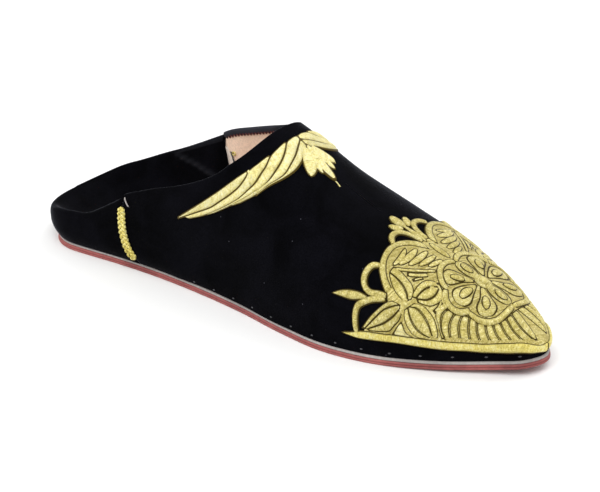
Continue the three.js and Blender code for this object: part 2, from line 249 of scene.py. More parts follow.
class Shape:
    """Collects the grids of one piece. Each vertex has two marks: on thread, the way along it and
    across it; on velvet, how much painted sheen it gets."""

    def __init__(self):
        self.points = []
        self.faces = []
        self.marks = []
        self.count = 0

    def grid(self, points, marks=None, close_rows=False, lid=False):
        """A grid of points, row by row. lid joins the first and last point of each row underneath."""
        rows, columns = points.shape[:2]
        for i in range(rows if close_rows else rows - 1):
            a = self.count + i * columns
            b = self.count + (i + 1) % rows * columns
            self.faces += [(a + j, a + j + 1, b + j + 1, b + j) for j in range(columns - 1)]
            if lid:
                self.faces.append((a, b, b + columns - 1, a + columns - 1))
        self.points.append(points.reshape(-1, 3))
        if marks is None:
            marks = np.zeros((rows, columns, 2))
        self.marks.append(marks.reshape(-1, 2))
        self.count += rows * columns

    def tube(self, path, radius, sides=8, mark=0.0):
        """A round strand along a path of points, closed to a point at both ends."""
        path = np.asarray(path, float)
        ahead = unit(np.gradient(path, axis=0))
        helper = np.array([0.3, 0.2, 0.93])
        one = unit(np.cross(ahead, helper))
        two = np.cross(ahead, one)
        angle = np.linspace(0, 2 * np.pi, sides, endpoint=False)
        size = np.full(len(path), float(radius))
        size[0] = size[-1] = 0.02 * radius
        ring = np.cos(angle)[:, None] * one[:, None] + np.sin(angle)[:, None] * two[:, None]
        points = path[:, None] + ring * size[:, None, None]
        along = lengths(path)[:, None] + mark
        marks = np.stack(np.broadcast_arrays(along, np.linspace(0.2, 0.8, sides)), -1)
        self.grid(points.transpose(1, 0, 2), marks.transpose(1, 0, 2), close_rows=True)

    def build(self, name, material, slot, replaces=()):
        """Make the piece, with the points welded where grids meet."""
        mesh = bpy.data.meshes.new(name)
        mesh.from_pydata(place(np.concatenate(self.points)).tolist(), [], self.faces)
        layer = mesh.uv_layers.new(name="thread")
        marks = np.concatenate(self.marks)
        corners = np.empty(len(mesh.loops), dtype=np.int32)
        mesh.loops.foreach_get("vertex_index", corners)
        layer.data.foreach_set("uv", marks[corners].astype(np.float32).ravel())
        work = bmesh.new()
        work.from_mesh(mesh)
        bmesh.ops.remove_doubles(work, verts=work.verts, dist=WELD)
        bmesh.ops.recalc_face_normals(work, faces=work.faces)
        work.to_mesh(mesh)
        work.free()
        mesh.polygons.foreach_set("use_smooth", [True] * len(mesh.polygons))
        mesh.materials.append(material)
        piece = bpy.data.objects.new(name, mesh)
        bpy.context.scene.collection.objects.link(piece)
        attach(piece, "root")
        if replaces:
            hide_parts(*replaces)


# Materials.
class Paint:
    """A material whose node tree is built by short calls."""

    def __init__(self, name, **shader):
        self.material = bpy.data.materials.new(name)
        self.material.use_nodes = True
        self.tree = self.material.node_tree
        self.shader = self.tree.nodes["Principled BSDF"]
        for key, value in shader.items():
            self.shader.inputs[key.replace("_", " ")].default_value = value
        self.object = self.add("TexCoord").outputs["Object"]

    def add(self, kind, inputs=None, **settings):
        node = self.tree.nodes.new("ShaderNode" + kind)
        for key, value in settings.items():
            setattr(node, key, value)
        for key, value in (inputs or {}).items():
            self.set(node.inputs[key], value)
        return node

    def set(self, socket, value):
        if isinstance(value, bpy.types.NodeSocket):
            self.tree.links.new(value, socket)
        else:
            socket.default_value = value

    def math(self, operation, a, b=0.0):
        return self.add("Math", {0: a, 1: b}, operation=operation).outputs[0]

    def times(self, a, b):
        return self.math("MULTIPLY", a, b)

    def noise(self, scale, detail=3.0, rough=0.55, vector=None, distortion=0.0):
        """Noise of that many waves to the metre, or to the unit of the given vector."""
        node = self.add("TexNoise", {
            "Vector": vector or self.object, "Scale": scale, "Detail": detail,
            "Roughness": rough, "Distortion": distortion,
        })
        return node.outputs["Fac"]

    def ramp(self, fac, stops):
        """Colours by fac; stops are (place, colour)."""
        node = self.add("ValToRGB", {"Fac": fac})
        bar = node.color_ramp
        while len(bar.elements) < len(stops):
            bar.elements.new(0.5)
        for element, (where, colour) in zip(bar.elements, stops):
            element.position = where
            element.color = (*colour, 1)
        return node.outputs["Color"]

    def mix(self, fac, a, b, blend="MIX"):
        node = self.add("Mix", data_type="RGBA", blend_type=blend)
        self.set(node.inputs[0], fac)
        self.set(node.inputs[6], a if isinstance(a, bpy.types.NodeSocket) else (*a, 1))
        self.set(node.inputs[7], b if isinstance(b, bpy.types.NodeSocket) else (*b, 1))
        return node.outputs[2]

    def bump(self, height, distance, strength=1.0, under=None):
        """distance is in millimetres."""
        inputs = {"Height": height, "Strength": strength, "Distance": distance * MM}
        if under is not None:
            inputs["Normal"] = under
        return self.add("Bump", inputs).outputs["Normal"]

    def marks(self):
        """The two marks of each vertex, and both as one vector."""
        both = self.add("UVMap", uv_map="thread").outputs["UV"]
        split = self.add("SeparateXYZ", {0: both})
        return split.outputs[0], split.outputs[1], both

    def finish(self, colour=None, rough=None, normal=None):
        for key, value in (("Base Color", colour), ("Roughness", rough), ("Normal", normal)):
            if value is not None:
                self.set(self.shader.inputs[key], value)
        return self.material


def velvet():
    paint = Paint("velvet", Sheen_Weight=0.16, Sheen_Roughness=0.22, Sheen_Tint=(0.8, 0.84, 1.0, 1),
                  Specular_IOR_Level=0.03)
    lean = paint.noise(45, 4, 0.6, distortion=0.6)
    pile = paint.noise(1500, 2, 0.7)
    nap = paint.ramp(lean, [(0.35, (0.0006, 0.0006, 0.001)), (0.66, (0.0022, 0.0022, 0.0036))])
    grain = paint.ramp(pile, [(0.35, (0.55, 0.55, 0.6)), (0.7, (1.5, 1.5, 1.45))])
    colour = paint.mix(0.8, nap, grain, "MULTIPLY")
    specks = paint.add("TexVoronoi", {"Vector": paint.object, "Scale": 170.0, "Randomness": 1.0})
    near = paint.math("LESS_THAN", specks.outputs["Distance"], 0.045)
    chance = paint.add("SeparateColor", {0: specks.outputs["Color"]}).outputs[0]
    lint = paint.times(near, paint.math("GREATER_THAN", chance, 0.86))
    colour = paint.mix(lint, colour, (0.05, 0.05, 0.06))
    # Painted sheen: the velvet is painted lighter where the vertex mark says, on the flap's ridge and turned
    # edge and on the collar over the inner side.
    painted_sheen = paint.times(paint.marks()[0], paint.math("ADD", 0.5, lean))
    colour = paint.mix(painted_sheen, colour, (0.034, 0.035, 0.043))
    soft = paint.bump(lean, 0.5, 0.5)
    return paint.finish(colour, 0.92, paint.bump(pile, 0.25, 0.8, soft))


STITCH_WIDTH = 0.46


def gold(name, light, mid, deep, groove_shade, metal=0.35, specular=0.5):
    """Satin stitches: the marks are the way along the shape in millimetres and the share across it."""
    paint = Paint(name, Metallic=metal, Specular_IOR_Level=specular, Anisotropic=0.5)
    along, across, mark = paint.marks()
    wander = paint.noise(1.2, 2, 0.5, vector=mark)
    phase = paint.math("ADD", along, paint.times(wander, 0.5))
    turns = paint.times(phase, math.pi / STITCH_WIDTH)
    thread = paint.math("ABSOLUTE", paint.math("SINE", turns))
    long_way = paint.add("CombineXYZ", {0: paint.times(along, 2.1), 1: paint.times(across, 1.3)})
    strand = paint.noise(1.0, 3, 0.65, vector=long_way.outputs[0])
    patch = paint.noise(160, 3, 0.6)
    speck = paint.noise(1300, 2, 0.6)
    tone = paint.math("ADD", paint.times(strand, 0.42), paint.times(patch, 0.2))
    tone = paint.math("ADD", tone, paint.times(speck, 0.38))
    colour = paint.ramp(tone, [(0.38, deep), (0.49, mid), (0.6, light)])
    # Painted shade: the colour darkens to the darkest given tone in the dips between stitches and towards
    # both edges of each pad.
    shade = paint.math("POWER", thread, 0.5)
    colour = paint.mix(paint.times(paint.math("SUBTRACT", 1.0, shade), 0.5), colour, groove_shade)
    edge = paint.times(paint.math("ABSOLUTE", paint.math("SUBTRACT", across, 0.5)), 2.0)
    colour = paint.mix(paint.math("POWER", edge, 7.0), colour, groove_shade)
    rough = paint.math("ADD", 0.26, paint.times(strand, 0.26))
    relief = paint.bump(speck, 0.28, 0.8, paint.bump(thread, 0.2, 1.0))
    return paint.finish(colour, rough, paint.bump(strand, 0.4, 0.8, relief))


def leather(name, light, dark, roughness, pore, grain_scale):
    """Leather or dull yarn: pore is the depth of its grain in millimetres."""
    paint = Paint(name, Specular_IOR_Level=0.35)
    cloud = paint.noise(38, 4, 0.6)
    grain = paint.noise(grain_scale, 3, 0.6)
    scuff = paint.add("TexVoronoi", {"Vector": paint.object, "Scale": grain_scale * 0.7},
                      feature="DISTANCE_TO_EDGE").outputs["Distance"]
    colour = paint.ramp(cloud, [(0.32, dark), (0.68, light)])
    spots = paint.ramp(grain, [(0.3, (0.82, 0.82, 0.82)), (0.65, (1.12, 1.12, 1.12))])
    colour = paint.mix(0.8, colour, spots, "MULTIPLY")
    rough = paint.math("ADD", roughness - 0.12, paint.times(cloud, 0.24))
    cells = paint.bump(paint.math("MINIMUM", scuff, 0.12), pore, 0.7)
    return paint.finish(colour, rough, paint.bump(grain, pore, 0.5, cells))


VELVET = velvet()
GOLD = gold("gold_thread", (0.96, 0.88, 0.45), (0.65, 0.55, 0.15), (0.38, 0.30, 0.06), (0.14, 0.10, 0.017))
GOLD_GROUND = gold(
    "gold_ground", (0.85, 0.76, 0.35), (0.55, 0.455, 0.12), (0.32, 0.25, 0.05), (0.13, 0.09, 0.015))
GOLD_BORDER = gold(
    "gold_border", (1.0, 0.94, 0.46), (0.90, 0.77, 0.20), (0.58, 0.46, 0.07), (0.18, 0.13, 0.02))
GOLD_PALE = gold(
    "gold_pale", (1.0, 0.97, 0.64), (0.97, 0.87, 0.36), (0.66, 0.55, 0.15), (0.30, 0.23, 0.05), 0.22)
# The dark pads round the satin shapes are painted shade, for the shadowed gaps between them.
GROOVE_SHADE = gold(
    "groove_shade", (0.40, 0.31, 0.07), (0.23, 0.172, 0.03), (0.10, 0.074, 0.012), (0.05, 0.035, 0.005), 0.0, 0.1)
GROOVE_PALE_SHADE = gold(
    "groove_pale_shade", (0.44, 0.34, 0.08), (0.27, 0.2, 0.035), (0.13, 0.09, 0.014), (0.08, 0.055, 0.009), 0, 0.1)
LINING = leather("lining_leather", (0.89, 0.70, 0.55), (0.77, 0.565, 0.425), 0.62, 0.06, 1200)
CREAM = leather("raw_leather", (0.80, 0.74, 0.66), (0.62, 0.55, 0.47), 0.75, 0.08, 900)
SOCK = leather("sock_leather", (0.72, 0.48, 0.36), (0.58, 0.36, 0.26), 0.55, 0.08, 900)
PALE = leather("pale_leather", (0.42, 0.385, 0.365), (0.27, 0.245, 0.232), 0.8, 0.12, 700)
SOLE_RED = leather("sole_leather", (0.38, 0.105, 0.095), (0.21, 0.05, 0.047), 0.62, 0.12, 600)
THREAD_GREY = leather("sole_thread", (0.06, 0.06, 0.065), (0.03, 0.03, 0.035), 0.7, 0.05, 1500)
THREAD_RED = leather("red_thread", (0.12, 0.014, 0.012), (0.07, 0.008, 0.007), 0.6, 0.05, 1500)


# The velvet upper: where the seams end and the collar starts, how far the rolled edge stands over the
# cut, and the points along a section when it is searched.
SEAM_TOP = 58.0
ROLL_DROP = 1.0
COLLAR_START = 50.0
FINE = 900


def seam_s(side, z):
    return seam_line[side](np.minimum(z, SEAM_TOP))


def cut_height(s, y):
    """The top line's height: one height over each wall, and a slope between them."""
    share = np.clip((y + THROAT_HALF) / (2 * THROAT_HALF), 0, 1)
    return top_line[-1](s) * (1 - share) + top_line[1](s) * share


def top_turn(s, side):
    """The turn at which the upper's section meets the top line, lowered for the rolled edge."""
    turns = np.linspace(0, 1, FINE)
    points = surface(station_of(s)[:, None], side, turns[None, :])
    above = points[..., 2] - (cut_height(s[:, None], points[..., 1]) - ROLL_DROP)
    over = above > 0
    first = np.argmax(over, axis=1)
    rows = np.arange(len(s))
    before = above[rows, np.maximum(first - 1, 0)]
    after = above[rows, first]
    share = np.clip(before / np.where(after == before, -1, before - after), 0, 1)
    turn = turns[np.maximum(first - 1, 0)] + share * (turns[1] - turns[0])
    return np.where(over.any(axis=1), turn, 1.0)


def throat_point():
    """Where the lowered top line crosses the crest."""
    s = np.linspace(110, 130, 4001)
    gap = cut_height(s, 0 * s) - ROLL_DROP - crest(s)
    return float(s[np.argmax(gap > 0)])


THROAT = throat_point()
JUST_PAST_THROAT = THROAT + 1e-4


def collar_stations(count):
    """Stations from the side seam to the throat, closer together where the top line turns."""
    s = np.linspace(COLLAR_START, THROAT, 3000)
    change = np.abs(np.diff(top_turn(s, -1))) + np.abs(np.diff(top_turn(s, 1)))
    run = np.concatenate([[0], np.cumsum(np.diff(s) / 55 + change)])
    out = np.interp(np.linspace(0, run[-1], count), run, s)
    out[-1] = JUST_PAST_THROAT
    return out


COLLAR_FRONT = collar_stations(110)
VAMP = np.concatenate([
    np.linspace(THROAT, TOE_START, 130)[1:],
    TOE_START + TOE_ROUND * np.sin(np.linspace(0, 1, 24)[1:] * np.pi / 2),
])
WALL_ROWS = 64
SEAM_FADE = 45.0
UPRIGHT = 95.0


def wall_grid(side, inset, columns, shift=0.0, short=0.0):
    """Stations, turns and points of one side, in columns from the base to the top line or the crest.

    The columns lean with the side seam at the back, and stand upright from UPRIGHT on.
    """
    share = np.linspace(0, 1, WALL_ROWS)
    fade = np.clip((UPRIGHT - columns[:, None]) / SEAM_FADE, 0, 1)
    s = np.repeat(columns[:, None], WALL_ROWS, 1)
    for _ in range(5):
        top = top_turn(s[:, -1], side)[:, None]
        turn = -1 + (top + 1 - short * (top < 1)) * share
        z = surface(station_of(s), side, turn, inset)[..., 2]
        s = columns[:, None] + (seam_s(side, z) + shift - COLLAR_START) * fade
    t = station_of(s)
    return t, turn, surface(t, side, turn, inset)


def on_wall(side, s, height, inset=0.0):
    """Points on the wall at given distances and heights."""
    sections = surface(station_of(s)[:, None], side, np.linspace(-1, 1, FINE)[None, :], inset)
    return np.array([
        [np.interp(h, section[:, 2], section[:, k]) for k in range(3)]
        for h, section in zip(height, sections)
    ])


def outward(t, side, turn):
    """Unit normals of the last, pointing out."""
    step = 2e-3
    along = surface(t + step, side, turn) - surface(t - step, side, turn)
    low, high = np.maximum(turn - step, -1), np.minimum(turn + step, 0.9995)
    low = np.minimum(low, high - step)
    up = surface(t, side, high) - surface(t, side, low)
    return unit(np.cross(along, up)) * -side


def relief(points, side):
    """Soft unevenness of the velvet wall, and the shallow hollows of the waist."""
    s, z = points[..., 0], points[..., 2]
    calm = np.clip((178 - s) / 25, 0, 1) * np.clip((s - 52) / 8, 0, 1)
    wave = 0.16 * np.sin(s * 0.11 + side) * np.sin(z * 0.13 + 0.6) + 0.05 * np.sin(s * 0.23 + z * 0.17)
    hollow = 0.8 * np.exp(-((s - 112) / 26) ** 2 - ((z - 19) / 11) ** 2)
    return (wave - hollow) * calm


def upper_side(side):
    """The outside of one wall and its unit normals."""
    t, turn, points = wall_grid(side, 0.0, np.concatenate([COLLAR_FRONT, VAMP]))
    out = outward(t, side, turn)
    return points + out * relief(points, side)[..., None], out


def rim_frame(sides):
    """The rim's points from the outer seam round the throat to the inner seam, with out and up."""
    count = len(COLLAR_FRONT)

    def round_rim(which, row):
        return np.concatenate([sides[-1][which][:count, row], sides[1][which][:count - 1, row][::-1]])

    edge, below, out = round_rim(0, -1), round_rim(0, -4), round_rim(1, -1)
    up = unit(np.cross(unit(np.gradient(edge, axis=0)), out))
    up *= np.sign(np.sum(up * (edge - below), axis=1, keepdims=True))
    up[1:-1] = unit(up[:-2] + up[1:-1] * 2 + up[2:])
    return edge, unit(out), up


def even(path, step):
    """Where a path's points would be at an even step, counted in its own points."""
    run = lengths(path)
    return np.interp(np.arange(0, run[-1], step), run, np.arange(len(path)))


def at(values, index):
    low = np.clip(np.floor(index).astype(int), 0, len(values) - 2)
    share = (index - low)[:, None]
    return values[low] * (1 - share) + values[low + 1] * share


def collar_painted_sheen(edge, columns):
    """Painted sheen on the collar: it is painted lighter over the inner side, where its rim catches the
    light.
    """
    lit = np.exp(-(np.maximum(0, np.abs(edge[:, 0] - 82) - 16) / 8) ** 2) * (edge[:, 1] > 0)
    painted_sheen = np.zeros((len(edge), columns, 2))
    painted_sheen[..., 0] = 0.85 * lit[:, None]
    return painted_sheen


# The margin turned under the foot of the wall, and the band inside the collar with its pinked teeth.
MARGIN_DROP = 0.5
MARGIN_IN = 0.4
BAND_DEPTH = 1.2
TOOTH = 2.1
TOOTH_DEPTH = 1.2
STEPS_OF_TOOTH = 4


def build_collar(shape, edge, out, up):
    """The rolled edge of the collar and the band inside it. Returns the band's pinked edge."""
    radius = WALL / 2
    rows = []
    for turn in np.linspace(0, math.pi, 9):
        rows.append(edge + up * radius * math.sin(turn) - out * radius * (1 - math.cos(turn)))
    rows.append(edge - out * WALL - up * 0.3)
    shape.grid(np.stack(rows, 1), collar_painted_sheen(edge, len(rows)))
    index = even(edge, TOOTH / STEPS_OF_TOOTH)
    edge, out, up = (at(values, index) for values in (edge, out, up))
    tooth = np.abs(np.arange(len(index)) % STEPS_OF_TOOTH - STEPS_OF_TOOTH / 2) / (STEPS_OF_TOOTH / 2)
    low = up * (BAND_DEPTH + TOOTH_DEPTH * tooth[:, None])
    band = []
    for depth, proud in ((-0.2, 0.0), (0.4, 0.1), (0.9, 0.1)):
        band.append(edge - out * (WALL + proud) - up * depth)
    pinked = edge - out * WALL - low
    band += [pinked, edge - out * (WALL - 0.35) - low]
    shape.grid(np.stack(band, 1), collar_painted_sheen(edge, len(band)))
    return pinked - up * 0.06


def build_upper():
    shape = Shape()
    sides = {side: upper_side(side) for side in (-1, 1)}
    for points, out in sides.values():
        under = points[:, 0] - out[:, 0] * MARGIN_IN - np.array([0, 0, MARGIN_DROP])
        shape.grid(np.concatenate([under[:, None], points], axis=1))
    pinked = build_collar(shape, *rim_frame(sides))
    # The cut rear edges, from the velvet to the lining.
    for side in (-1, 1):
        inner = wall_grid(side, WALL - 0.5, COLLAR_FRONT[:1])[2][0]
        shape.grid(np.stack([sides[side][0][0], inner], 1))
    shape.build("velvet_upper", VELVET, "velvet", ["upper"])
    stitch = Shape()
    stitch.tube(pinked[STEPS_OF_TOOTH:-STEPS_OF_TOOTH], 0.24, 6)
    stitch.build("collar_stitches", THREAD_RED, "sock_leather")


def build_lining():
    shape = Shape()
    columns = np.concatenate([COLLAR_FRONT[::2], [JUST_PAST_THROAT], VAMP[::3], VAMP[-1:]])
    below_rim = 0.008
    for side in (-1, 1):
        points = wall_grid(side, LINING_INSET, columns, 1.0, below_rim)[2]
        shape.grid(points)
        # Its rear edge turns out towards the velvet.
        outer = wall_grid(side, 0.7, columns[:1], 0.6, below_rim)[2][0]
        shape.grid(np.stack([points[0], outer], 1))
    shape.build("lining", LINING, "sock_leather")


def build_lining_edge():
    """The pale raw edge of the lining along the inner side seam, and loose ends of thread on it."""
    shape = Shape()
    low_end, high_end = 22.0, 45.0
    height = np.linspace(low_end, high_end, 60)
    low = np.clip((high_end - height) / 12, 0, 1)
    rows = []
    for inside in np.linspace(0, 1, 5):
        wave = 0.35 * np.sin(height * 1.3) * inside
        s = seam_s(1, height) - 0.5 + (2.0 + 8.2 * low ** 0.8) * inside + wave
        rows.append(on_wall(1, s, height, LINING_INSET + (0.25 if inside < 1 else 0.02)))
    shape.grid(np.stack(rows, 1))
    shape.build("lining_edge", CREAM, "sock_leather")
    drop = np.linspace(0, 1, 16)
    thread = Shape()
    for first, run, bow, radius in ((70.3, 1.4, 1.2, 0.22), (71.0, 5.4, -0.8, 0.2)):
        s = first + run * drop + bow * np.sin(drop * np.pi)
        thread.tube(on_wall(1, s, 43.5 - 11 * drop, LINING_INSET + 0.45), radius)
    thread.build("loose_thread", THREAD_GREY, "gold_thread")
    tuft = Shape()
    s = 72.6 + 0.9 * np.cos(drop * 9)
    tuft.tube(on_wall(1, s, 42.6 + 0.8 * np.sin(drop * 9), LINING_INSET + 0.5), 0.3)
    tuft.build("thread_tuft", GOLD_BORDER, "gold_thread")


# The heel quarter, folded down inside: the rows of its flap, the ridge across it, how far each side
# reaches forward, and the flap's place at the back, its half width and its lean at the inner seam.
FLAP_ROWS = 60
FLAP_SHARES = np.linspace(0, 1, FLAP_ROWS + 1)[1:] ** 1.7
RIDGE_START = 36.0
RIDGE_RUN = 105.0
RIDGE_HEIGHT = 1.3
QUARTER_REACH = {-1: 57.0, 1: 65.0}
QUARTER_BULGE = 0.5
FLAP_BACK = 44.0
FLAP_HALF = 24.5
FLAP_LEAN = 9.5


def quarter_column(side, share):
    """One column of the folded sheet, share 0 at the back of the heel and 1 at the side seam."""
    def s_at(z):
        end = station_of(seam_s(side, z) - 0.3)
        return share * end

    rough_t = s_at(30.0)
    rows = [surface(s_at(UPPER_BASE), side, -1, MARGIN_IN) - np.array([0, 0, MARGIN_DROP])]
    for turn in np.linspace(-1, 0, 7):
        z = float(surface(rough_t, side, turn)[2])
        rows.append(surface(s_at(z), side, turn))
    s, _, out_x, _ = plan(rough_t)
    rim = float(top_line[side](s + out_x * HEEL_BACK))
    s, _, out_x, out_y = (float(v) for v in plan(s_at(rim)))
    shoulder = rim - FOLD_RADIUS
    widest = rows[-1][2]
    for part in np.linspace(0, 1, 11)[1:]:
        z = widest + (shoulder - widest) * part
        x, y, _ = surface(s_at(z), side, 0.0)
        bulge = QUARTER_BULGE * math.sin(math.pi * part) * min(1, (shoulder - widest) / 12)
        rows.append(np.array([x + out_x * bulge, y + side * out_y * bulge, z]))
    x, y = rows[-1][0], rows[-1][1]
    reach = QUARTER_REACH[side]
    way = side * math.sqrt(min(1, s / reach))
    full = 115 + 65 * way * way
    for k in range(1, 11):
        turn = math.radians(full * k / 10)
        run = FOLD_RADIUS * (1 - math.cos(turn))
        z = shoulder + FOLD_RADIUS * math.sin(turn)
        rows.append(np.array([x - out_x * run, y - side * out_y * run, z]))
    start = rows[-1]
    forward = FLAP_LEAN * max(0.0, way) ** 8
    end_x = FLAP_BACK + 18 * abs(way) ** 2.5 + max(0, s - reach)
    end = np.array([end_x, FLAP_HALF * way, INSOLE_TOP + 0.3 + FOLDED_WALL])
    for t in FLAP_SHARES:
        fall = (1 - t) ** 2.2
        x, y, _ = start + (end - start) * t
        rows.append(np.array([x + forward * (1 - fall), y, end[2] + (start[2] - end[2]) * fall]))
    return np.array(rows)


def flap_relief(points):
    """The ridge that runs across the folded side, the turned edge, and soft dents in the flap.

    Returns the height of each point's relief and how much painted sheen it gets there.
    """
    s = points[:, -FLAP_ROWS:, 0]
    t = FLAP_SHARES[None, :]
    start = points[:, -FLAP_ROWS - 1, 0][:, None]
    sides = np.where(points[:, -FLAP_ROWS - 1, 1] < 0, -1, 1)[:, None]
    on = np.where(sides > 0, 1.0, 0.55) * np.clip((start - RIDGE_START) / 4, 0, 1)
    centre = (start - RIDGE_START) / RIDGE_RUN
    ridge = np.exp(-((t - centre) / 0.022) ** 2) * on
    dents = 0.35 * np.sin(s * 0.33 + 2 * t) * np.sin(t * 7.0 + 0.8 * sides)
    fade = np.clip(t / 0.06, 0, 1) * np.clip((1 - t) / 0.2, 0, 1)
    height = np.zeros(points.shape[:2])
    height[:, -FLAP_ROWS:] = RIDGE_HEIGHT * ridge + dents * fade
    painted_sheen = np.zeros(points.shape[:2])
    # Painted highlight along the crest of the ridge.
    painted_sheen[:, -FLAP_ROWS:] = 0.32 * np.exp(-((t - centre + 0.006) / 0.018) ** 2) * on
    # The turned edge of the inner side, which catches the light.
    inner = (sides[:, 0] > 0) * np.clip((start[:, 0] - 34) / 8, 0, 1)
    painted_sheen[:, -FLAP_ROWS - 5:-FLAP_ROWS + 3] += 0.16 * inner[:, None]
    return height, painted_sheen


def build_quarter():
    shares = np.linspace(0, 1, 84)
    lateral = [quarter_column(-1, v) for v in shares][::-1]
    medial = [quarter_column(1, v) for v in shares[1:]]
    points = np.array(lateral + medial)
    out = unit(np.cross(np.gradient(points, axis=0), np.gradient(points, axis=1)))
    probe = (len(shares) // 2, 8)
    if np.dot(out[probe], points[probe] - np.array([40, 0, 20])) < 0:
        out = -out
    height, painted_sheen = flap_relief(points)
    points = points + out * height[..., None]
    behind = points - out * FOLDED_WALL
    shape = Shape()
    rings = np.concatenate([points, behind[:, ::-1]], axis=1)
    rings = np.concatenate([rings, rings[:, :1]], axis=1)
    marks = np.zeros(rings.shape[:2] + (2,))
    marks[:, :points.shape[1], 0] = painted_sheen
    shape.grid(rings, marks)
    for k in (0, -1):
        shape.grid(np.stack([points[k], behind[k]], 1))
    shape.build("velvet_quarter", VELVET, "velvet", ["heel_quarter"])


# Soles and insole.
def build_layer(name, profile, material, slot, node, dish=0.0):
    """A flat piece of the sole, closed above and below, with (inset, height) pairs as its edge."""
    t = np.concatenate([np.linspace(0, 1, 40)[:-1], np.linspace(1, 2, 150)[:-1], np.linspace(2, 3, 40)])
    s, width, out_x, out_y = plan(t)
    shape = Shape()
    half = {}
    for side in (-1, 1):
        rows = []
        for inset, z in profile:
            gap = inset(s) if callable(inset) else inset
            y = side * np.maximum(0, width - out_y * gap)
            rows.append(np.stack([s - out_x * gap, y, z + spring(s)], -1))
        half[side] = np.array(rows)
        shape.grid(half[side])
    for row in (0, -1):
        share = np.linspace(0, 1, 25)[:, None, None]
        sheet = half[-1][row] * (1 - share) + half[1][row] * share
        if row == -1:
            # Only the sock is dished, where a foot presses it under the heel and the ball.
            crown = 4 * share[..., 0] * (1 - share[..., 0])
            press = np.exp(-((s - 32) / 30) ** 2) + 0.7 * np.exp(-((s - 178) / 34) ** 2)
            sheet[..., 2] -= dish * crown * press
        shape.grid(sheet)
    shape.build(name, material, slot, [node])


def insole_inset(s):
    return tuck(s) - belly(s) + WALL + 0.35


def build_soles():
    red = [(2.0, 0.0), (0.35, 0.05), (0.06, 0.3), (0.0, 0.7), (0.03, 0.98), (0.5, 1.08), (0.55, 1.2),
           (0.2, 1.32), (0.2, 1.8), (0.25, 2.1), (0.5, 2.34), (1.6, OUTSOLE)]
    build_layer("sole_red", red, SOLE_RED, "sole_leather", "outsole")
    pale = [(2.4, OUTSOLE + 0.02), (0.75, 2.45), (0.5, 2.6), (0.45, 2.9), (0.5, 3.2), (0.8, 3.4),
            (1.6, MIDSOLE_TOP), (2.8, MIDSOLE_TOP + 0.05)]
    build_layer("sole_pale", pale, PALE, "pale_leather", "midsole")
    sock = [(insole_inset, UPPER_BASE + 0.05), (insole_inset, INSOLE_TOP - 0.35),
            (lambda s: insole_inset(s) + 0.15, INSOLE_TOP - 0.08),
            (lambda s: insole_inset(s) + 0.6, INSOLE_TOP)]
    build_layer("sock", sock, SOCK, "sock_leather", "insole", dish=0.7)


STITCH_PITCH = 12.4
STITCH_HEIGHT = 1.9


def build_sole_stitches():
    shape = Shape()
    for mirror in (1, -1):
        for s in np.arange(97, 262, STITCH_PITCH):
            near = s + np.array([-0.7, -0.25, 0.25, 0.7])
            a = np.interp(station_of(near), chart.t, chart.girths) - STITCH_HEIGHT
            shape.tube(chart.point(near, a * mirror, 0.1), 0.36)
    shape.build("sole_stitches", THREAD_GREY, "pale_leather")


# Embroidery: how deep the feet of its pads stand in the velvet, the step along a pad and the points
# across it, and the grooves of painted shade, which are lifted round pads that lie on others.
SINK = 0.2
PAD_STEP = 0.7
PAD_COLUMNS = 13
GROOVE_SPREAD = 0.34
GROOVE_LIFT = 0.5
GROOVE_LIFT_UPPER = 0.98
UPPER_PAD = 1.35


def spline(points, count):
    """Evenly spaced points on a smooth curve through the given ones."""
    points = np.asarray(points, float)
    knots = lengths(points)
    fine = np.linspace(0, knots[-1], 60 * len(points))
    dense = np.stack([through(knots, points[:, k])(fine) for k in (0, 1)], -1)
    run = lengths(dense)
    want = np.linspace(0, run[-1], count)
    return np.stack([np.interp(want, run, dense[:, k]) for k in (0, 1)], -1)


def leaf(base, tip, width, bow=0.0, full=0.62):
    """The two edges of a leaf that may bend to one side; a lower full makes its ends blunter."""
    base, tip = np.array(base, float), np.array(tip, float)
    t = np.linspace(0, 1, 15)[:, None]
    side = unit(np.array([-(tip - base)[1], (tip - base)[0]]))
    middle = base + (tip - base) * t + side * bow * 4 * t * (1 - t)
    half = width / 2 * np.power(np.sin(np.pi * t).clip(0), full)
    return middle + side * half, middle - side * half


def ribbon(path, width, start=1.0, end=1.0):
    """The two edges of a band along a path; start and end give the width's share at the ends."""
    middle = spline(path, 30)
    t = np.linspace(0, 1, 30)
    share = np.interp(t, [0, 0.12, 0.88, 1], [start, 1, 1, end])
    ahead = unit(np.gradient(middle, axis=0))
    side = np.stack([-ahead[:, 1], ahead[:, 0]], -1) * (width / 2 * share)[:, None]
    return middle + side, middle - side


def groove_shade(shape, left, right, mirror, lift):
    """Painted shade round a satin shape: a low flat dark pad that is a little wider than the shape, for the
    shadowed gap round it.
    """
    aside = (right - left) / (np.hypot(*(right - left).T)[:, None] + 1e-6) * GROOVE_SPREAD
    ahead = unit(np.gradient((left + right) / 2, axis=0)) * GROOVE_SPREAD
    left, right = left - aside, right + aside
    left = np.concatenate([left[:1] - ahead[:1], left, left[-1:] + ahead[-1:]])
    right = np.concatenate([right[:1] - ahead[:1], right, right[-1:] + ahead[-1:]])
    share = np.array([0, 0.06, 0.5, 0.94, 1])
    grid = left[:, None] + (right - left)[:, None] * share[None, :, None]
    high = np.tile([-SINK, lift, lift, lift, -SINK], (len(left), 1))
    high[0] = high[-1] = -SINK
    shape.grid(chart.point(grid[..., 0], grid[..., 1] * (-1 if mirror else 1), high), lid=True)


